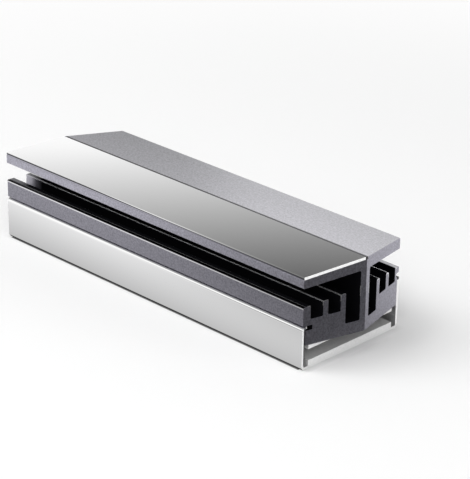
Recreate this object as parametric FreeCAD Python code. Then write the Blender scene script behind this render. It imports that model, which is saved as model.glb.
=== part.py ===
import FreeCAD, Part

import math
import os

os.makedirs("parts", exist_ok=True)

# Heat sink for a 22 mm wide memory card. A finned aluminium extrusion lies over the card, and a
# thin sheet tray runs under it. The tray's two lips are bent into grooves along the extrusion's
# sides, so the tray slides on from one end. A soft pad faces the card from each side.
# X runs along the card, Y across it, and Z up. The origin is under the tray, in its middle.
# Left means the -Y side, and near means the +X end. All sizes are in millimetres.

# Card and the room left for it
card_width = 22.0
card_side_clearance = 0.4
card_gap = 2.05

# Tray, a sheet bent along four lines
tray_length = 76.0
sheet = 0.45
bend_radius = 0.1
left_wall_height = 7.62
left_lip_angle = 18.0
left_lip_reach = 0.9
right_wall_height = 9.95
right_lip_angle = 25.0
right_lip_reach = 0.75
relief_length = 1.2
relief_drop = 0.45

# Pads
pad_far_margin = 6.0
pad_side_margin = 1.05
pad_thickness = 1.0

# Clearances between the extrusion and the tray
flank_clearance = 0.15
groove_clearance = 0.14
left_groove_spare = 0.81
right_groove_spare = 0.05
side_step = 0.1

# Extrusion: lower block with its fins
floor_above_left_groove = 1.1
rim_above_right_groove = 1.01
wall_thickness = 1.35
fins_per_side = 2
fin_thickness = 0.95
inner_gap = 2.75
inner_gap_extra_depth = 2.5
gap_corner = 0.25

# Extrusion: web and roof
web_thickness = 2.1
side_slot = 3.35
roof_edge = 1.94
roof_ridge = 2.14
roof_rise = 1.11
web_corner = 0.3
edge_break = 0.12

# Ends of the extrusion: the near end is a blunt point, the far end one slanted cut
cut_angle = 14.4

# Polished strip, let into the left side of the roof
strip_thickness = 0.5
pocket_depth = 0.4
strip_side_step = 0.06
ridge_margin = 0.15
strip_gap = 0.12

# How far the cutting blocks reach past what they cut
cut_overrun = 1.0

# Places that follow from the sizes above
channel_half = card_width / 2 + card_side_clearance
tray_half = channel_half + sheet
sink_half = tray_half - side_step
flank_half = channel_half - flank_clearance
pad_length = tray_length - pad_far_margin
pad_width = 2 * (channel_half - pad_side_margin)
lower_pad_base = sheet
upper_pad_base = lower_pad_base + pad_thickness + card_gap
block_base = upper_pad_base + pad_thickness
near_corner = tray_length / 2
far_corner = -tray_length / 2


def lip_points(wall_height, lip_angle, lip_reach):
    """Outer and inner bend of a wall and its lip: heights of the bends, and the lip's end."""
    slope = math.tan(math.radians(lip_angle))
    bend_back = sheet * math.tan(math.radians(90 - lip_angle) / 2)
    inner_bend = wall_height - bend_back
    tip_outer = (tray_half - lip_reach, wall_height + lip_reach * slope)
    normal_y = sheet * math.sin(math.radians(lip_angle))
    normal_z = sheet * math.cos(math.radians(lip_angle))
    tip_inner = (tip_outer[0] - normal_y, tip_outer[1] - normal_z)
    return inner_bend, tip_outer, tip_inner, slope


def groove_for(wall_height, lip_angle, lip_reach, spare):
    """Floor, ceiling and bottom of the groove that a lip runs in, the bottom measured from the middle."""
    inner_bend, tip_outer, tip_inner, slope = lip_points(wall_height, lip_angle, lip_reach)
    under_lip = inner_bend + (channel_half - flank_half) * slope
    return under_lip - groove_clearance, tip_outer[1] + groove_clearance, tip_inner[0] - spare


# Heights of the block, which follow from the grooves
left_groove = groove_for(left_wall_height, left_lip_angle, left_lip_reach, left_groove_spare)
right_groove = groove_for(right_wall_height, right_lip_angle, right_lip_reach, right_groove_spare)
gap_floor = left_groove[1] + floor_above_left_groove
inner_gap_floor = gap_floor - inner_gap_extra_depth
wall_top = right_groove[1] + rim_above_right_groove
roof_edge_base = wall_top + side_slot
roof_edge_top = roof_edge_base + roof_edge
ridge_top = roof_edge_top + roof_rise
end_slope = math.tan(math.radians(cut_angle))
roof_slope = roof_rise / sink_half
fin_gap = (
    sink_half - web_thickness / 2 - inner_gap - wall_thickness - fins_per_side * fin_thickness
) / fins_per_side


def profile_edges(points):
    """Edges through (y, z, radius) points, with an arc in place of each corner that has a radius."""
    corners = [FreeCAD.Vector(0, y, z) for y, z, radius in points]
    runs = []
    for i, (y, z, radius) in enumerate(points):
        here = corners[i]
        inner = 0 < i < len(points) - 1
        if radius == 0 or not inner:
            runs.append((here, here, None))
            continue
        back = (corners[i - 1] - here).normalize()
        ahead = (corners[i + 1] - here).normalize()
        half_angle = back.getAngle(ahead) / 2
        reach = radius / math.tan(half_angle)
        bisector = (back + ahead).normalize()
        centre = here + bisector * (radius / math.sin(half_angle))
        runs.append((here + back * reach, here + ahead * reach, centre - bisector * radius))
    edges = []
    for i, (start, end, middle) in enumerate(runs):
        if middle is not None:
            edges.append(Part.Arc(start, middle, end).toShape())
        if i + 1 < len(runs) and end.distanceToPoint(runs[i + 1][0]) > 1e-6:
            edges.append(Part.makeLine(end, runs[i + 1][0]))
    return edges


def prism(points, start, end):
    """Solid with the closed profile of the points, drawn out along X from start to end."""
    wire = Part.Wire(profile_edges(points + [points[0]]))
    face = Part.Face(wire)
    face.translate(FreeCAD.Vector(start, 0, 0))
    return face.extrude(FreeCAD.Vector(end - start, 0, 0))


def half_tray(side, wall_height, lip_angle, lip_reach):
    """Outer and inner corners of one half of the tray, from its middle to its lip."""
    inner_bend, tip_outer, tip_inner, slope = lip_points(wall_height, lip_angle, lip_reach)
    outer_radius = bend_radius + sheet
    outer = [
        (side * tray_half, 0.0, outer_radius),
        (side * tray_half, wall_height, outer_radius),
        (side * tip_outer[0], tip_outer[1], 0),
    ]
    inner = [
        (side * channel_half, sheet, bend_radius),
        (side * channel_half, inner_bend, bend_radius),
        (side * tip_inner[0], tip_inner[1], 0),
    ]
    return outer, inner


def make_tray():
    """Sheet tray: a floor, two walls of unlike height, and a lip on each that rises inwards."""
    left_outer, left_inner = half_tray(-1, left_wall_height, left_lip_angle, left_lip_reach)
    right_outer, right_inner = half_tray(1, right_wall_height, right_lip_angle, right_lip_reach)
    points = [(0.0, 0.0, 0)]
    points += right_outer
    points += reversed(right_inner)
    points += left_inner
    points += reversed(left_outer)
    tray = prism(points, far_corner, near_corner)
    # The right lip stops short of both ends, where the wall alone goes on a little lower
    relief_height = 2 * (right_lip_reach + sheet)
    for start in (far_corner - cut_overrun, near_corner - relief_length):
        relief = Part.makeBox(
            relief_length + cut_overrun,
            2 * sheet + right_lip_reach,
            relief_height,
            FreeCAD.Vector(start, tray_half - right_lip_reach - sheet, right_wall_height - relief_drop),
        )
        tray = tray.cut(relief)
    return tray


def roof_top(y):
    """Height of the roof's top at a distance y from the ridge."""
    return ridge_top - roof_slope * abs(y)


def roof_underside(y):
    """Height of the roof's underside at a distance y from the middle."""
    ridge_base = ridge_top - roof_ridge
    return ridge_base - (ridge_base - roof_edge_base) * abs(y) / sink_half


def fin_top(y):
    """Height of the wall and fin tops, which rise towards the web as the roof does."""
    return wall_top + roof_slope * (sink_half - abs(y))


def side_points(side, groove):
    """Corners of one side of the block, from the middle of its base up to the web."""
    groove_floor, groove_ceiling, groove_bottom = groove
    points = [
        (side * flank_half, block_base, edge_break),
        (side * flank_half, groove_floor, edge_break),
        (side * groove_bottom, groove_floor, edge_break),
        (side * groove_bottom, groove_ceiling, edge_break),
        (side * sink_half, groove_ceiling, edge_break),
        (side * sink_half, fin_top(sink_half), edge_break),
    ]
    wall_inner = sink_half - wall_thickness
    points.append((side * wall_inner, fin_top(wall_inner), edge_break))
    points.append((side * wall_inner, gap_floor, gap_corner))
    place = wall_inner
    for fin in range(fins_per_side):
        outer = place - fin_gap
        inner = outer - fin_thickness
        innermost = fin == fins_per_side - 1
        inner_floor = inner_gap_floor if innermost else gap_floor
        points.append((side * outer, gap_floor, gap_corner))
        points.append((side * outer, fin_top(outer), edge_break))
        points.append((side * inner, fin_top(inner), edge_break))
        points.append((side * inner, inner_floor, gap_corner))
        place = inner
    points.append((side * web_thickness / 2, inner_gap_floor, gap_corner))
    points.append((side * web_thickness / 2, roof_underside(web_thickness / 2), web_corner))
    return points


def roof_corner(side):
    """Lower outer corner of the roof on one side."""
    return side * sink_half, roof_underside(sink_half), edge_break


def pocket_points():
    """Corners of the shallow pocket for the strip, open at the roof's side and closed at the ridge."""
    inner = -ridge_margin
    return [
        (-sink_half, roof_top(sink_half) - pocket_depth, edge_break),
        (inner, roof_top(inner) - pocket_depth, 0),
        (inner, roof_top(inner), 0),
    ]


def end_cutters():
    """Blocks that take the extrusion's ends to their slanted shapes, seen from above."""
    reach = 2 * sink_half
    nose = near_corner + sink_half * end_slope
    beyond = nose + reach
    over = sink_half + cut_overrun
    near_plan = [
        (near_corner - cut_overrun * end_slope, -over),
        (nose, 0.0),
        (near_corner - cut_overrun * end_slope, over),
        (beyond, over),
        (beyond, -over),
    ]
    far_plan = [
        (far_corner - cut_overrun * end_slope, -over),
        (far_corner + (sink_half + over) * end_slope, over),
        (-beyond, over),
        (-beyond, -over),
    ]
    cutters = []
    for plan in (near_plan, far_plan):
        corners = [FreeCAD.Vector(x, y, 0) for x, y in plan]
        outline = Part.makePolygon(corners + [corners[0]])
        cutters.append(Part.Face(outline).extrude(FreeCAD.Vector(0, 0, ridge_top + cut_overrun)))
    return cutters


def cut_ends(shape):
    """The shape with the extrusion's slanted ends."""
    for cutter in end_cutters():
        shape = shape.cut(cutter)
    return shape


def full_run():
    """Start and end of a bar that is long enough to be cut at both ends."""
    spare = sink_half * end_slope + cut_overrun
    return far_corner - cut_overrun, near_corner + spare


def make_heat_sink():
    """Finned extrusion: block, web and roof in one section, with the strip's pocket."""
    points = [(0.0, block_base, 0)]
    points += side_points(1, right_groove)
    points.append(roof_corner(1))
    points.append((sink_half, roof_top(sink_half), edge_break))
    points.append((0.0, ridge_top, 0))
    points += reversed(pocket_points())
    points.append(roof_corner(-1))
    points += reversed(side_points(-1, left_groove))
    start, end = full_run()
    return cut_ends(prism(points, start, end))


def make_strip():
    """Polished strip in its pocket, a little proud of the roof, with its ends cut alike."""
    outer = strip_side_step - sink_half
    inner = -ridge_margin - strip_gap
    base = -pocket_depth
    top = strip_thickness - pocket_depth
    points = [
        (outer, roof_top(outer) + base, 0),
        (inner, roof_top(inner) + base, 0),
        (inner, roof_top(inner) + top, 0),
        (outer, roof_top(outer) + top, 0),
    ]
    start, end = full_run()
    return cut_ends(prism(points, start, end))


def make_pad(base):
    """Flat pad that ends level with the tray's near end."""
    corner = FreeCAD.Vector(near_corner - pad_length, -pad_width / 2, base)
    return Part.makeBox(pad_length, pad_width, pad_thickness, corner)


nodes = {
    "heat_sink": make_heat_sink(),
    "polished_strip": make_strip(),
    "clip_tray": make_tray(),
    "upper_thermal_pad": make_pad(upper_pad_base),
    "lower_thermal_pad": make_pad(lower_pad_base),
}

for name, shape in nodes.items():
    shape.exportStep("parts/" + name + ".step")
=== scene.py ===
import math
from types import SimpleNamespace

import bpy
from mathutils import Matrix, Vector


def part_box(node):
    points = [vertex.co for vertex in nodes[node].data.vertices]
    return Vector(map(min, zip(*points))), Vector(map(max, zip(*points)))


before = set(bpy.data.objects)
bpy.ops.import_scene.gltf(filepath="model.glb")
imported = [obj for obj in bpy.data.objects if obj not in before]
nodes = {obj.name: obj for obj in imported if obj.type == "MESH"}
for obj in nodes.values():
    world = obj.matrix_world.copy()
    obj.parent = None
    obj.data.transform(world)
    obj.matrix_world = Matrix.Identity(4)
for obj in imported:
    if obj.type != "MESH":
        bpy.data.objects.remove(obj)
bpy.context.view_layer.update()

# Camera, measured from the photograph: angles in degrees, places in metres, and its sensor's
# width in millimetres
CAMERA_AZIMUTH = 45.03
CAMERA_ELEVATION = 23.83
CAMERA_ROLL = 0.577
CAMERA_DISTANCE = 0.35872
AIM_RIGHT = 0.007422
AIM_UP = 0.007164
FOCAL_PIXELS = 1990.4
FRAME_HEIGHT_PIXELS = 479
SENSOR = 36.0
CLIP_START = 0.01
CLIP_END = 20.0

# Sizes of the extrusion that the finish follows, in metres
ROOF_RISE = 0.00111
ROOF_EDGE = 0.00194
POCKET_DEPTH = 0.0004
SIDE_SLOT = 0.00335
BLOCK_HALF = 0.01175
RIM_WIDTH = 0.00112
FLANK_HALF = 0.0110
FLANK_TOP = 0.0096
ROOF_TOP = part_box("heat_sink")[1][2]
ROOF_EDGE_TOP = ROOF_TOP - ROOF_RISE
STRIP_SIDE_BASE = ROOF_EDGE_TOP - POCKET_DEPTH
ROOF_SIDE_BASE = ROOF_EDGE_TOP - ROOF_EDGE
BLOCK_TOP = ROOF_SIDE_BASE - SIDE_SLOT

# Colours, as linear values
ANODISED = (0.418, 0.409, 0.470)
ROOF_FILM = (0.418, 0.414, 0.442)
# Burnish on edges, painted bright as highlights
BURNISHED_HIGHLIGHT = (0.85, 0.845, 0.87)
# Painted light on the fins' sides by the far end
FAR_PAINTED_LIGHT = (0.46, 0.45, 0.50)
SEAM = (0.06, 0.06, 0.065)
# Black painted shade: between the fins, along the rim's top and in the tray's notch
SHADE_BLACK = (0.004, 0.004, 0.005)
MIRROR = (0.97, 0.97, 0.97)
SHEET = (0.92, 0.92, 0.925)
# Painted highlight along the tray's rim
LIP_HIGHLIGHT = (1.0, 1.0, 1.0)
CUT_EDGE = (0.97, 0.97, 0.97)
# Painted shade along the inner edge of the tray's left cut
INNER_EDGE_SHADE = (0.14, 0.14, 0.15)
# Painted shade on the tray's cut at its foot
FOOT_EDGE_SHADE = (0.76, 0.76, 0.76)
# Pad faces painted darker as shade, and its cut ends paler as light
PAD_SHADED = (0.54, 0.54, 0.54)
PAD_END_LIT = (0.80, 0.80, 0.80)
FLOOR = 0.91
FLOOR_IN_VIEW = 1.0

# How steeply a surface faces one way before it counts as facing it
END_FACING = (0.4, 0.5)
STEEP_FACING = (0.85, 0.95)
LEFT_FACING = (-0.1, 0.1)

# Broken edges: widths in metres, the least angle in degrees, and the steps across one
EDGE_BREAK = 0.00010
STRIP_EDGE_BREAK = 0.00015
SHEET_EDGE_BREAK = 0.00006
EDGE_ANGLE = 40.0
EDGE_STEPS = 2

# Grain and relief: sizes and relief in metres, scales in features per metre
GRAIN_SIZE = 0.0003
GRAIN_FROM_TO = (0.35, 0.65)
GRAIN_SPREAD = 0.22
GRAIN_RELIEF = 0.000012
GRAIN_RELIEF_STRENGTH = 0.6
NOISE_FROM_TO = (0.3, 0.7)
HAZE_SCALE = 900
HAZE_STRETCH = (1, 6, 1)
LINES_SCALE = 1500
LINES_STRETCH = (0.03, 1, 1)
LINES_RELIEF = 0.000001
LINES_RELIEF_STRENGTH = 0.3
PAD_GRAIN_SIZE = 0.0004
PAD_GRAIN_DETAIL = 4.0
PAD_GRAIN_SPREAD = 0.06
PAD_RELIEF = 0.00003
PAD_RELIEF_STRENGTH = 0.5

# Roughness, from and to where it varies
FILM_ROUGHNESS = (0.36, 0.46)
MIRROR_ROUGHNESS = (0.03, 0.05)
SHEET_ROUGHNESS = (0.08, 0.13)
CUT_ROUGHNESS = 0.6
PAD_ROUGHNESS = 0.75

# Painted light and shade, as tones that scale the film's colour: sides and ends from the block's
# top up to the roof's side, and tops from the ridge outwards
SIDE_SHADE_TONES = (0.69, 1.03)
END_SHADE_TONES = (0.87, 0.98)
LEFT_END_SHADE_TONE = 0.86
TOP_SHADE_TONES = (1.10, 0.89)
RIM_SHADE_TONE = 0.82

# Painted shade, highlights, light and a seam on the film, lengths in metres. The fin tops, the
# rim's wear and highlight and its line of shade are measured up from the block's top
BLEND = 0.0001
DEEP_BASE = 0.0062
DEEP_BASE_BLEND = 0.0003
DEEP_MARGIN = 0.0005
FAR_END_FROM_TO = (-0.0362, -0.0325)
FAR_END_TOPS = 0.0003
FAR_PAINTED_LIGHT_FROM_TO = (-0.0355, -0.0342)
EDGE_WEAR_HIGHLIGHT = (0.00022, 0.00038)
EDGE_SAMPLES = 6
EDGE_TURN = (0.998, 0.97)
EDGE_LEAN = 0.1
FIN_TOPS_FROM_TO = (-0.0005, 0.0014)
FIN_TOPS_MARGIN = 0.0009
WORN_HIGHLIGHT_FROM_TO = (-0.00042, 0.0003)
WORN_HIGHLIGHT_BLEND = 0.00008
SHADE_LINE_FROM = -0.00020
SHADE_LINE_BLEND = 0.00006
RIDGE_SEAM_WIDTH = 0.00055
RIDGE_SEAM_BLEND = 0.00011
RIDGE_SEAM_HEIGHT = 0.0010

# Painted parts of the strip and the sheet, in metres
STRIP_SIDE_MARGIN = 0.0002
STRIP_FOOT = 0.00017
STRIP_SEAM_TO = (0.00046, 0.00029)
STRIP_SEAM_TURN = (-0.016, 0.004)
STRIP_SEAM_BLEND = 0.00004
LIP_HIGHLIGHT_FROM_TO = (0.0069, 0.0073)
NOTCH_SHADE_CORNER = (0.0366, 0.0110, 0.0090)
FOOT_SHADE_FROM_TO = (0.0005, 0.0009)
INNER_EDGE_FROM = -0.01158
INNER_EDGE_TO = -0.0110
INNER_EDGE_BLEND = 0.00005

# Plain light from all round, and soft boxes a metre away: azimuth, elevation, watts
AMBIENT = 0.39
SOFT_BOX_SIZE = 0.5
SOFT_BOXES = {
    "left_low": (-135, 35, 2.07),
    "left_high": (-135, 60, 2.0),
    "front_low": (-45, 35, 1.93),
    "front_high": (-90, 60, 2.2),
    "near_fill": (20, 10, 2.6),
}

# Cards that metal shows: place, target, size and strength, and the rays they are hidden from
CARDS = {
    "back_softbox": ((-0.325, 0.36, 0.13), (0, 0, 0.02), (0.6, 0.2), 0.85),
    "near_softbox": ((-0.045, 0.122, 0.058), (0.03, 0, 0.017), (0.093, 0.06), 1.8),
}
HIDDEN_FROM = ("camera", "diffuse", "transmission", "volume_scatter", "shadow")

# Sky that metal shows. The fall gives display brightness by direction, about a middle value. A
# centre is an azimuth and an elevation, and its range holds cosines of the angle from it. The
# ranges of the horizon and overhead hold the upward part of a direction
DISPLAY_GAMMA = 2.2
SKY_MIDDLE = 0.747
SKY_FALL = (-2.52, 3.42, -7.16)
SKY_DARK = 0.09
OVERHEAD = 0.33
OVERHEAD_FROM_TO = (0.56, 0.72)
HORIZON = 1.0
HORIZON_FROM_TO = (0.40, 0.58)
FALL_CENTRE = (128, 30)
FALL_FROM_TO = (0.72, 0.90)
GLOOM = 0.15
GLOOM_CENTRE = (16, 0)
GLOOM_FROM_TO = (0.75, 0.92)

# Floor that the camera sees, with painted shade at the tray's foot and ends, lengths in metres
FLOOR_HALF = 3.0
WHITE_FROM_TO = (0.08, 0.22)
UNDER_MARGIN = 0.0008
UNDER_SHADE_WIDTH = 0.00022
UNDER_SHADE_LEVEL = 0.16
END_SHADE = 0.77
END_SHADE_WIDTH = 0.0014
END_SHADE_SIDES = (-0.001, 0.001)

# Floor that metal shows, lengths in metres
FLOOR_REACH = 0.04
FLOOR_BANDS = ((0.0, 0.54), (0.005, 0.685), (0.011, 0.86), (0.015, 0.93), (0.022, 1.0))
CONTACT_WIDTH = 0.00015
CONTACT_LEVEL = 0.02
DARK_AZIMUTH = -25.0
DARK_FROM_TO = (0.0385, 0.0430)
DARK_LEVEL = 0.30
FLAG_AZIMUTH = -50.0
FLAG_FROM_TO = (0.0, 0.04)
FLAG_ASIDE = 0.025
FLAG_DEPTH = 0.8
FLAG_FADE = (0.045, 0.070)


def empty_material(name):
    """A node material with nothing but its output."""
    material = bpy.data.materials.new(name)
    material.use_nodes = True
    tree = material.node_tree
    tree.nodes.clear()
    return material, tree, tree.nodes.new("ShaderNodeOutputMaterial")


def new_material(name):
    """A node material with its shader and output joined."""
    material, tree, output = empty_material(name)
    shader = tree.nodes.new("ShaderNodeBsdfPrincipled")
    tree.links.new(shader.outputs["BSDF"], output.inputs["Surface"])
    return material, tree, shader


def put(tree, socket, value):
    """Links the value to the socket if it comes from a node, or else sets it."""
    if isinstance(value, bpy.types.NodeSocket):
        tree.links.new(value, socket)
    else:
        socket.default_value = value


def calculate(tree, operation, *values):
    """The result of one math node."""
    node = tree.nodes.new("ShaderNodeMath")
    node.operation = operation
    for socket, value in zip(node.inputs, values):
        put(tree, socket, value)
    return node.outputs["Value"]


def product(tree, *factors):
    """All the factors multiplied."""
    result = factors[0]
    for factor in factors[1:]:
        result = calculate(tree, "MULTIPLY", result, factor)
    return result


def inverse(tree, factor):
    """1 less the factor."""
    return calculate(tree, "SUBTRACT", 1.0, factor)


def ranged(tree, value, from_low, from_high, low, high, smooth=False):
    """The value brought from one range to another, and held at its ends."""
    node = tree.nodes.new("ShaderNodeMapRange")
    if smooth:
        node.interpolation_type = "SMOOTHSTEP"
    ends = (from_low, from_high, low, high)
    for name, end in zip(("From Min", "From Max", "To Min", "To Max"), ends):
        put(tree, node.inputs[name], end)
    tree.links.new(value, node.inputs["Value"])
    return node.outputs["Result"]


def above(tree, value, level, blend=BLEND):
    """0 up to the level, and 1 from the blend above it."""
    return ranged(tree, value, level, level + blend, 0, 1)


def below(tree, value, level, blend=BLEND):
    """1 up to the level, and 0 from the blend above it."""
    return ranged(tree, value, level, level + blend, 1, 0)


def turned(tree, factor, first, second):
    """One number turned into another by the factor."""
    return ranged(tree, factor, 0, 1, first, second)


def place_on_piece(tree, stretch=(1, 1, 1)):
    """The shaded point in the piece's own metres, stretched along its axes."""
    coordinates = tree.nodes.new("ShaderNodeTexCoord")
    mapping = tree.nodes.new("ShaderNodeMapping")
    mapping.inputs["Scale"].default_value = stretch
    tree.links.new(coordinates.outputs["Object"], mapping.inputs["Vector"])
    return mapping.outputs["Vector"]


def parts_of(tree, vector):
    """The x, y and z of a vector."""
    node = tree.nodes.new("ShaderNodeSeparateXYZ")
    tree.links.new(vector, node.inputs["Vector"])
    return node.outputs["X"], node.outputs["Y"], node.outputs["Z"]


def noise(tree, scale, detail=2.0, stretch=(1, 1, 1)):
    """Noise fixed to the piece, with features about 1/scale metres wide."""
    texture = tree.nodes.new("ShaderNodeTexNoise")
    texture.inputs["Scale"].default_value = scale
    texture.inputs["Detail"].default_value = detail
    tree.links.new(place_on_piece(tree, stretch), texture.inputs["Vector"])
    return texture.outputs["Fac"]


def tinted(tree, factor, first, second):
    """One colour turned into another by the factor."""
    mix = tree.nodes.new("ShaderNodeMix")
    mix.data_type = "RGBA"
    put(tree, mix.inputs[0], factor)
    for socket, colour in ((mix.inputs[6], first), (mix.inputs[7], second)):
        put(tree, socket, colour if isinstance(colour, bpy.types.NodeSocket) else (*colour, 1))
    return mix.outputs[2]


def shades(tree, factor, colour, spread):
    """The colour made darker and lighter by the spread as the factor runs from 0 to 1."""
    darker = tuple(c * (1 - spread) for c in colour)
    lighter = tuple(c * (1 + spread) for c in colour)
    return tinted(tree, factor, darker, lighter)


def toned(tree, colour, tone):
    """The colour made darker or lighter by the tone."""
    scale = tree.nodes.new("ShaderNodeVectorMath")
    scale.operation = "SCALE"
    tree.links.new(colour, scale.inputs[0])
    tree.links.new(tone, scale.inputs["Scale"])
    return scale.outputs["Vector"]


def mixed(tree, factor, first, second):
    """One shader turned into another by the factor."""
    mix = tree.nodes.new("ShaderNodeMixShader")
    put(tree, mix.inputs["Fac"], factor)
    tree.links.new(first, mix.inputs[1])
    tree.links.new(second, mix.inputs[2])
    return mix.outputs["Shader"]


def roughened(tree, shader, grain, from_to):
    """Roughness on the shader that varies with the grain."""
    tree.links.new(ranged(tree, grain, *NOISE_FROM_TO, *from_to), shader.inputs["Roughness"])


def bumped(tree, shader, height, distance, strength):
    """Fine relief on the shader from a height value."""
    bump = tree.nodes.new("ShaderNodeBump")
    bump.inputs["Distance"].default_value = distance
    bump.inputs["Strength"].default_value = strength
    tree.links.new(height, bump.inputs["Height"])
    tree.links.new(bump.outputs["Normal"], shader.inputs["Normal"])


def in_piece(tree, normal):
    """The three parts of a direction, brought into the piece's frame."""
    turn = tree.nodes.new("ShaderNodeVectorTransform")
    turn.vector_type = "NORMAL"
    turn.convert_from = "WORLD"
    turn.convert_to = "OBJECT"
    tree.links.new(normal, turn.inputs["Vector"])
    return parts_of(tree, turn.outputs["Vector"])


def facing(tree):
    """The three parts of the surface's own direction, in the piece's frame."""
    geometry = tree.nodes.new("ShaderNodeNewGeometry")
    return in_piece(tree, geometry.outputs["Normal"])


def facing_ends(tree, steepness):
    """1 where the surface faces along the piece, and 0 elsewhere."""
    return ranged(tree, calculate(tree, "ABSOLUTE", facing(tree)[0]), *steepness, 0, 1)


def at_edges(tree, radius):
    """1 along the piece's edges and 0 on its flats, and how far an edge leans to the right."""
    bevel = tree.nodes.new("ShaderNodeBevel")
    bevel.samples = EDGE_SAMPLES
    put(tree, bevel.inputs["Radius"], radius)
    geometry = tree.nodes.new("ShaderNodeNewGeometry")
    dot = tree.nodes.new("ShaderNodeVectorMath")
    dot.operation = "DOT_PRODUCT"
    tree.links.new(bevel.outputs["Normal"], dot.inputs[0])
    tree.links.new(geometry.outputs["True Normal"], dot.inputs[1])
    edge = ranged(tree, dot.outputs["Value"], *EDGE_TURN, 0, 1)
    return edge, in_piece(tree, bevel.outputs["Normal"])[1]


def spot_on_extrusion(tree):
    """Where the shaded point lies and faces, with masks that are 1 in an area and 0 outside it."""
    along, across, up = parts_of(tree, place_on_piece(tree))
    facing_across, facing_up = facing(tree)[1:]
    aside = calculate(tree, "ABSOLUTE", across)
    is_end = facing_ends(tree, END_FACING)
    right_half = above(tree, across, -BLEND, 2 * BLEND)
    return SimpleNamespace(
        along=along,
        across=across,
        up=up,
        aside=aside,
        facing_across=facing_across,
        is_end=is_end,
        not_end=inverse(tree, is_end),
        is_top=ranged(tree, facing_up, *STEEP_FACING, 0, 1),
        on_roof=above(tree, up, ROOF_SIDE_BASE),
        right_half=right_half,
        left_half=inverse(tree, right_half),
        within=below(tree, aside, BLOCK_HALF - DEEP_MARGIN),
        above_base=above(tree, up, DEEP_BASE, DEEP_BASE_BLEND),
    )


def film_colour_with_painted_shade(tree, spot, speckle):
    """The grey film with painted shade and light: paler on the roof's sides than on the block's,
    and towards the ridge.
    """
    grain = ranged(tree, speckle, *GRAIN_FROM_TO, 0, 1)
    film = tinted(
        tree,
        spot.is_top,
        shades(tree, grain, ANODISED, GRAIN_SPREAD),
        shades(tree, grain, ROOF_FILM, GRAIN_SPREAD),
    )
    side_shade_tone = ranged(tree, spot.up, BLOCK_TOP, ROOF_SIDE_BASE, *SIDE_SHADE_TONES)
    end_shade_tone = product(
        tree,
        ranged(tree, spot.up, BLOCK_TOP, ROOF_SIDE_BASE, *END_SHADE_TONES),
        ranged(tree, spot.facing_across, *LEFT_FACING, LEFT_END_SHADE_TONE, 1),
    )
    top_shade_tone = product(
        tree,
        ranged(tree, spot.aside, 0, BLOCK_HALF, *TOP_SHADE_TONES),
        turned(tree, spot.on_roof, RIM_SHADE_TONE, 1),
    )
    tone = turned(tree, spot.is_end, side_shade_tone, end_shade_tone)
    return toned(tree, film, turned(tree, spot.is_top, tone, top_shade_tone))


def shade_between_fins(tree, spot):
    """The area between the block's sides and below the roof, where black is painted as shade.

    On the right the tops of the roof and the rim are left out. So are the lower sides, which run
    inside the tray.
    """
    on_rim = above(tree, spot.aside, BLOCK_HALF - RIM_WIDTH)
    pale_top = product(
        tree,
        spot.is_top,
        calculate(tree, "MAXIMUM", on_rim, spot.on_roof),
        spot.right_half,
    )
    flank = product(
        tree,
        above(tree, spot.aside, FLANK_HALF),
        below(tree, spot.up, FLANK_TOP),
    )
    depth = calculate(tree, "ADD", spot.along, product(tree, spot.is_top, FAR_END_TOPS))
    return product(
        tree,
        spot.within,
        spot.above_base,
        spot.not_end,
        inverse(tree, pale_top),
        inverse(tree, flank),
        ranged(tree, depth, *FAR_END_FROM_TO, 0, 1),
    )


def far_sides_painted_light(tree, spot):
    """The sides of the fins and walls by the far end, painted paler as light."""
    return product(
        tree,
        spot.within,
        spot.above_base,
        spot.not_end,
        inverse(tree, spot.is_top),
        ranged(tree, spot.along, *FAR_PAINTED_LIGHT_FROM_TO, 1, 0),
    )


def burnished_fin_highlights(tree, spot):
    """The outer edges of the fin tops, with a burnish painted bright as a highlight."""
    edge, leaning = at_edges(tree, turned(tree, spot.right_half, *EDGE_WEAR_HIGHLIGHT))
    outwards = calculate(tree, "SUBTRACT", spot.right_half, spot.left_half)
    return product(
        tree,
        edge,
        above(tree, spot.up, BLOCK_TOP + FIN_TOPS_FROM_TO[0]),
        below(tree, spot.up, BLOCK_TOP + FIN_TOPS_FROM_TO[1]),
        below(tree, spot.aside, BLOCK_HALF - FIN_TOPS_MARGIN),
        above(tree, product(tree, leaning, outwards), 0, EDGE_LEAN),
    )


def worn_rim_highlight(tree, spot):
    """The block's left upper outer edge: painted wear and highlight, and painted shade on its top.
    """
    worn_highlight = product(
        tree,
        inverse(tree, spot.within),
        spot.left_half,
        spot.not_end,
        above(tree, spot.up, BLOCK_TOP + WORN_HIGHLIGHT_FROM_TO[0], WORN_HIGHLIGHT_BLEND),
        below(tree, spot.up, BLOCK_TOP + WORN_HIGHLIGHT_FROM_TO[1]),
    )
    # A line of painted shade along the rim's top
    shade_line = product(tree, worn_highlight, above(tree, spot.up, BLOCK_TOP + SHADE_LINE_FROM, SHADE_LINE_BLEND))
    return worn_highlight, shade_line


def ridge_seam(tree, spot):
    """The dark seam along the ridge, where the roof meets the strip."""
    strip_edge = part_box("polished_strip")[1][1]
    from_strip = calculate(tree, "ABSOLUTE", calculate(tree, "SUBTRACT", spot.across, strip_edge))
    return product(
        tree,
        below(tree, from_strip, RIDGE_SEAM_WIDTH, RIDGE_SEAM_BLEND),
        above(tree, spot.up, STRIP_SIDE_BASE + RIDGE_SEAM_HEIGHT),
    )


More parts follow.
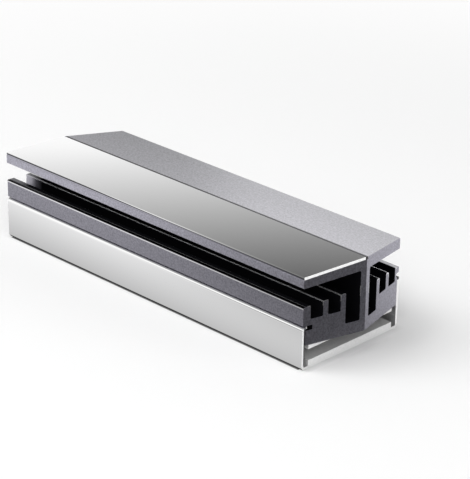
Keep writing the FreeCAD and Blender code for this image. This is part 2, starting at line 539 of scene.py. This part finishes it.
def anodised_material():
    """Blasted and anodised aluminium: bluish grey satin speckle, painted light and black shade."""
    material, tree, shader = new_material("anodised_aluminium")
    speckle = noise(tree, 1 / GRAIN_SIZE)
    spot = spot_on_extrusion(tree)
    fin_shade = shade_between_fins(tree, spot)
    burnish_highlight = burnished_fin_highlights(tree, spot)
    worn_highlight, shade_line = worn_rim_highlight(tree, spot)
    colour = film_colour_with_painted_shade(tree, spot, speckle)
    # Painted shade, light and highlights laid over the film's colour, and a dark seam
    for area, paint in (
        (fin_shade, SHADE_BLACK),
        (far_sides_painted_light(tree, spot), FAR_PAINTED_LIGHT),
        (burnish_highlight, BURNISHED_HIGHLIGHT),
        (worn_highlight, BURNISHED_HIGHLIGHT),
        (shade_line, SHADE_BLACK),
        (ridge_seam(tree, spot), SEAM),
    ):
        colour = tinted(tree, area, colour, paint)
    tree.links.new(colour, shader.inputs["Base Color"])
    roughened(tree, shader, speckle, FILM_ROUGHNESS)
    bumped(tree, shader, speckle, GRAIN_RELIEF, GRAIN_RELIEF_STRENGTH)

    # The painted black shade has no metal's sheen at a low angle
    dull = product(tree, fin_shade, inverse(tree, burnish_highlight))
    tree.links.new(inverse(tree, dull), shader.inputs["Metallic"])
    shader.inputs["Specular IOR Level"].default_value = 0
    return material


def add_cut_ends(tree, shader, colour):
    """Lets the sheet's ends, which face along it, show a matte cut in place of the polished face.
    """
    cut = tree.nodes.new("ShaderNodeBsdfPrincipled")
    put(tree, cut.inputs["Base Color"], colour)
    cut.inputs["Roughness"].default_value = CUT_ROUGHNESS
    is_end = facing_ends(tree, STEEP_FACING)
    surface = mixed(tree, is_end, shader.outputs["BSDF"], cut.outputs["BSDF"])
    output = next(n for n in tree.nodes if n.type == "OUTPUT_MATERIAL")
    tree.links.new(surface, output.inputs["Surface"])


def mirror_material():
    """Polished plate: a clear mirror with a faint haze, and bright cut ends."""
    material, tree, shader = new_material("mirror_strip")
    haze = noise(tree, HAZE_SCALE, stretch=HAZE_STRETCH)
    along, across, up = parts_of(tree, place_on_piece(tree))
    # Along the roof's side its foot is grey, with a dark line above that widens to the far end
    outer_side = below(tree, across, STRIP_SIDE_MARGIN - BLOCK_HALF)
    height = calculate(tree, "SUBTRACT", up, STRIP_SIDE_BASE)
    seam_to = ranged(tree, along, *STRIP_SEAM_TURN, *STRIP_SEAM_TO)
    colour = MIRROR
    for top, shade in ((seam_to, SEAM), (STRIP_FOOT, ANODISED)):
        past_top = calculate(tree, "SUBTRACT", height, top)
        painted = product(tree, outer_side, below(tree, past_top, 0, STRIP_SEAM_BLEND))
        colour = tinted(tree, painted, colour, shade)
    tree.links.new(colour, shader.inputs["Base Color"])
    shader.inputs["Metallic"].default_value = 1
    roughened(tree, shader, haze, MIRROR_ROUGHNESS)
    add_cut_ends(tree, shader, (*CUT_EDGE, 1))
    return material


def sheet_material():
    """Bright rolled sheet: a mirror with faint lines along its length, and bright cut ends."""
    material, tree, shader = new_material("polished_sheet")
    lines = noise(tree, LINES_SCALE, stretch=LINES_STRETCH)
    place = parts_of(tree, place_on_piece(tree))
    across, up = place[1:]
    # A small notch at the near end of the right lip is painted black as shade
    notch_shade = product(tree, *(above(tree, part, at) for part, at in zip(place, NOTCH_SHADE_CORNER)))
    # The tray's rim is painted brighter, as a highlight on the polished sheet
    polish_and_highlight = tinted(tree, ranged(tree, up, *LIP_HIGHLIGHT_FROM_TO, 0, 1), SHEET, LIP_HIGHLIGHT)
    tree.links.new(tinted(tree, notch_shade, polish_and_highlight, SHADE_BLACK), shader.inputs["Base Color"])
    shader.inputs["Metallic"].default_value = 1
    roughened(tree, shader, lines, SHEET_ROUGHNESS)
    bumped(tree, shader, lines, LINES_RELIEF, LINES_RELIEF_STRENGTH)
    # The cut is painted greyer at the foot as shade, and on the left wall dark along its inner edge
    # as shade
    above_foot = ranged(tree, up, *FOOT_SHADE_FROM_TO, 0, 1)
    inner_shade = product(
        tree,
        above_foot,
        above(tree, across, INNER_EDGE_FROM, INNER_EDGE_BLEND),
        below(tree, across, INNER_EDGE_TO),
    )
    cut = tinted(tree, above_foot, FOOT_EDGE_SHADE, CUT_EDGE)
    cut = tinted(tree, inner_shade, cut, INNER_EDGE_SHADE)
    add_cut_ends(tree, shader, tinted(tree, notch_shade, cut, SHADE_BLACK))
    return material


def pad_material():
    """Soft silicone pad: matte grey crumb, painted darker on its faces as shade, paler at its cut
    ends as light.
    """
    material, tree, shader = new_material("thermal_pad")
    crumb = noise(tree, 1 / PAD_GRAIN_SIZE, PAD_GRAIN_DETAIL)
    factor = ranged(tree, crumb, *NOISE_FROM_TO, 0, 1)
    colour = tinted(
        tree,
        facing_ends(tree, STEEP_FACING),
        shades(tree, factor, PAD_SHADED, PAD_GRAIN_SPREAD),
        shades(tree, factor, PAD_END_LIT, PAD_GRAIN_SPREAD),
    )
    tree.links.new(colour, shader.inputs["Base Color"])
    shader.inputs["Roughness"].default_value = PAD_ROUGHNESS
    bumped(tree, shader, crumb, PAD_RELIEF, PAD_RELIEF_STRENGTH)
    return material


def dress(node, material, edge=0.0):
    """Gives a carried-over node its finish, and breaks its sharp edges by a small width."""
    mesh = nodes[node].data
    mesh.materials.clear()
    mesh.materials.append(material)
    if edge:
        bevel = nodes[node].modifiers.new("edge_break", "BEVEL")
        bevel.width = edge
        bevel.segments = EDGE_STEPS
        bevel.limit_method = "ANGLE"
        bevel.angle_limit = math.radians(EDGE_ANGLE)
        bevel.use_clamp_overlap = False
        bevel.harden_normals = True


def flat_sheet(name, half_wide, half_high):
    """A flat rectangle about the middle of its own frame."""
    corners = [
        (-half_wide, -half_high, 0),
        (half_wide, -half_high, 0),
        (half_wide, half_high, 0),
        (-half_wide, half_high, 0),
    ]
    mesh = bpy.data.meshes.new(name)
    mesh.from_pydata(corners, [], [(0, 1, 2, 3)])
    sheet = bpy.data.objects.new(name, mesh)
    bpy.context.scene.collection.objects.link(sheet)
    return sheet


def card(name, place, target, size, strength):
    """A flat bright card that only shiny pieces show."""
    sheet = flat_sheet(name, size[0] / 2, size[1] / 2)
    sheet.location = place
    aim = Vector(target) - Vector(place)
    sheet.rotation_mode = "QUATERNION"
    sheet.rotation_quaternion = aim.to_track_quat("-Z", "Y")
    material, tree, output = empty_material(name)
    glow = tree.nodes.new("ShaderNodeEmission")
    glow.inputs["Strength"].default_value = strength
    tree.links.new(glow.outputs["Emission"], output.inputs["Surface"])
    sheet.data.materials.append(material)
    for kind in HIDDEN_FROM:
        setattr(sheet, "visible_" + kind, False)


def direction(azimuth, elevation):
    """Unit vector of two angles in degrees."""
    azimuth = math.radians(azimuth)
    elevation = math.radians(elevation)
    flat = math.cos(elevation)
    return flat * math.cos(azimuth), flat * math.sin(azimuth), math.sin(elevation)


def dot_with(tree, parts, way):
    """The dot product of a vector's parts with a fixed direction."""
    total = calculate(tree, "MULTIPLY", parts[0], way[0])
    for part, share in zip(parts[1:], way[1:]):
        total = calculate(tree, "ADD", total, calculate(tree, "MULTIPLY", part, share))
    return total


def towards(tree, parts, centre, from_to, low, high):
    """A number that turns from low to high as a direction nears the centre's two angles."""
    nearness = dot_with(tree, parts, direction(*centre))
    return ranged(tree, nearness, *from_to, low, high, smooth=True)


def floor_in_view(tree, aside, ahead, path):
    """Pale floor with the object's shadow and painted shade at its foot, white away from it."""
    level = turned(tree, path.outputs["Is Camera Ray"], FLOOR, FLOOR_IN_VIEW)
    under = calculate(tree, "MAXIMUM", aside, calculate(tree, "ADD", ahead, UNDER_MARGIN))
    at_end = product(
        tree,
        ranged(tree, ahead, 0, END_SHADE_WIDTH, 1, 0),
        ranged(tree, aside, *END_SHADE_SIDES, 1, 0),
    )
    level = product(
        tree,
        level,
        ranged(tree, under, 0, UNDER_SHADE_WIDTH, UNDER_SHADE_LEVEL, 1),
        turned(tree, at_end, 1, END_SHADE),
    )
    shader = tree.nodes.new("ShaderNodeBsdfDiffuse")
    tree.links.new(level, shader.inputs["Color"])
    length = tree.nodes.new("ShaderNodeVectorMath")
    length.operation = "LENGTH"
    tree.links.new(place_on_piece(tree), length.inputs[0])
    white = ranged(tree, length.outputs["Value"], *WHITE_FROM_TO, 0, 1, smooth=True)
    white = product(tree, white, path.outputs["Is Camera Ray"])
    backdrop = tree.nodes.new("ShaderNodeEmission")
    return mixed(tree, white, shader.outputs["BSDF"], backdrop.outputs["Emission"])


def floor_in_metal(tree, place, aside, ahead):
    """Floor that is dark at contact and past the near end, and greyer by the foot and in front."""
    outside = calculate(tree, "MAXIMUM", aside, ahead)
    contact = ranged(tree, outside, 0, CONTACT_WIDTH, CONTACT_LEVEL, 1)
    bands = tree.nodes.new("ShaderNodeValToRGB")
    ramp = bands.color_ramp
    while len(ramp.elements) < len(FLOOR_BANDS):
        ramp.elements.new(0.5)
    for stop, (distance, level) in zip(ramp.elements, FLOOR_BANDS):
        stop.position = distance / FLOOR_REACH
        stop.color = (level, level, level, 1)
    tree.links.new(calculate(tree, "DIVIDE", aside, FLOOR_REACH), bands.inputs["Fac"])
    beyond = dot_with(tree, place, direction(DARK_AZIMUTH, 0)[:2])
    before = dot_with(tree, place, direction(FLAG_AZIMUTH, 0)[:2])
    flag = product(
        tree,
        ranged(tree, before, *FLAG_FROM_TO, 0, 1, smooth=True),
        ranged(tree, aside, 0, FLAG_ASIDE, 0, FLAG_DEPTH, smooth=True),
        ranged(tree, aside, *FLAG_FADE, 1, 0, smooth=True),
    )
    level = product(
        tree,
        bands.outputs["Color"],
        contact,
        ranged(tree, beyond, *DARK_FROM_TO, 1, DARK_LEVEL, smooth=True),
        inverse(tree, flag),
    )
    glow = tree.nodes.new("ShaderNodeEmission")
    tree.links.new(level, glow.inputs["Strength"])
    return glow.outputs["Emission"]


def make_floor():
    """Pale floor, with a look of its own in metal."""
    floor = flat_sheet("floor", FLOOR_HALF, FLOOR_HALF)
    material, tree, output = empty_material("floor")
    material.cycles.emission_sampling = "NONE"
    path = tree.nodes.new("ShaderNodeLightPath")
    place = parts_of(tree, place_on_piece(tree))[:2]
    tray_end, tray_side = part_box("clip_tray")[1][:2]
    ahead, aside = (
        calculate(tree, "SUBTRACT", calculate(tree, "ABSOLUTE", part), edge)
        for part, edge in zip(place, (tray_end, tray_side))
    )
    seen = floor_in_view(tree, aside, ahead, path)
    in_metal = floor_in_metal(tree, place, aside, ahead)
    surface = mixed(tree, path.outputs["Is Glossy Ray"], seen, in_metal)
    tree.links.new(surface, output.inputs["Surface"])
    floor.data.materials.append(material)


def soft_box(name, azimuth, elevation, power):
    """A soft lamp aimed at the object, which metal doesn't show."""
    data = bpy.data.lights.new(name, "AREA")
    data.shape = "SQUARE"
    data.size = SOFT_BOX_SIZE
    data.energy = power
    light = bpy.data.objects.new(name, data)
    bpy.context.scene.collection.objects.link(light)
    light.location = direction(azimuth, elevation)
    light.rotation_mode = "QUATERNION"
    light.rotation_quaternion = light.location.to_track_quat("Z", "Y")
    light.visible_glossy = False


def sky_in_metal(tree):
    """Brightness by direction: white low down, grey overhead, dark behind and by the near end."""
    coordinates = tree.nodes.new("ShaderNodeTexCoord")
    ways = parts_of(tree, coordinates.outputs["Generated"])
    darkest = SKY_DARK ** (1 / DISPLAY_GAMMA)
    fall = calculate(tree, "ADD", dot_with(tree, ways, SKY_FALL), SKY_MIDDLE)
    fall = ranged(tree, fall, darkest, 1.0, darkest, 1.0)
    fall = calculate(tree, "POWER", fall, DISPLAY_GAMMA)
    overhead = ranged(tree, ways[2], *OVERHEAD_FROM_TO, 0, OVERHEAD - SKY_DARK, smooth=True)
    fall = calculate(tree, "ADD", fall, overhead)
    around = product(
        tree,
        ranged(tree, ways[2], *HORIZON_FROM_TO, HORIZON, OVERHEAD, smooth=True),
        towards(tree, ways, GLOOM_CENTRE, GLOOM_FROM_TO, 1, GLOOM),
    )
    return turned(tree, towards(tree, ways, FALL_CENTRE, FALL_FROM_TO, 0, 1), around, fall)


def make_world():
    """Plain pale surroundings, white where the camera sees them, and a sky where metal does."""
    world = bpy.data.worlds.new("surroundings")
    bpy.context.scene.world = world
    world.cycles.sampling_method = "NONE"
    world.use_nodes = True
    tree = world.node_tree
    tree.nodes.clear()
    output = tree.nodes.new("ShaderNodeOutputWorld")
    background = tree.nodes.new("ShaderNodeBackground")
    background.inputs["Color"].default_value = (1, 1, 1, 1)
    path = tree.nodes.new("ShaderNodeLightPath")
    plain = turned(tree, path.outputs["Is Camera Ray"], AMBIENT, 1.0)
    level = turned(tree, path.outputs["Is Glossy Ray"], plain, sky_in_metal(tree))
    tree.links.new(level, background.inputs["Strength"])
    tree.links.new(background.outputs["Background"], output.inputs["Surface"])


def make_camera():
    """The photograph's camera."""
    azimuth = math.radians(CAMERA_AZIMUTH)
    roll = math.radians(CAMERA_ROLL)
    ahead = -Vector(direction(CAMERA_AZIMUTH - 90, CAMERA_ELEVATION))
    level = Vector((math.cos(azimuth), math.sin(azimuth), 0))
    upward = level.cross(ahead)
    right = math.cos(roll) * level + math.sin(roll) * upward
    up = math.cos(roll) * upward - math.sin(roll) * level
    place = right * AIM_RIGHT + up * AIM_UP - ahead * CAMERA_DISTANCE
    data = bpy.data.cameras.new("camera")
    data.sensor_width = SENSOR
    data.lens = FOCAL_PIXELS * SENSOR / FRAME_HEIGHT_PIXELS
    data.clip_start = CLIP_START
    data.clip_end = CLIP_END
    camera = bpy.data.objects.new("camera", data)
    bpy.context.scene.collection.objects.link(camera)
    turn = Matrix((right, up, -ahead)).transposed().to_4x4()
    camera.matrix_world = Matrix.Translation(place) @ turn
    bpy.context.scene.camera = camera


dress("heat_sink", anodised_material(), EDGE_BREAK)
dress("polished_strip", mirror_material(), STRIP_EDGE_BREAK)
dress("clip_tray", sheet_material(), SHEET_EDGE_BREAK)
pad_finish = pad_material()
dress("upper_thermal_pad", pad_finish)
dress("lower_thermal_pad", pad_finish)

make_floor()
make_world()
for name, values in SOFT_BOXES.items():
    soft_box(name, *values)
for name, values in CARDS.items():
    card(name, *values)
make_camera()

bpy.context.scene.view_settings.view_transform = "Standard"
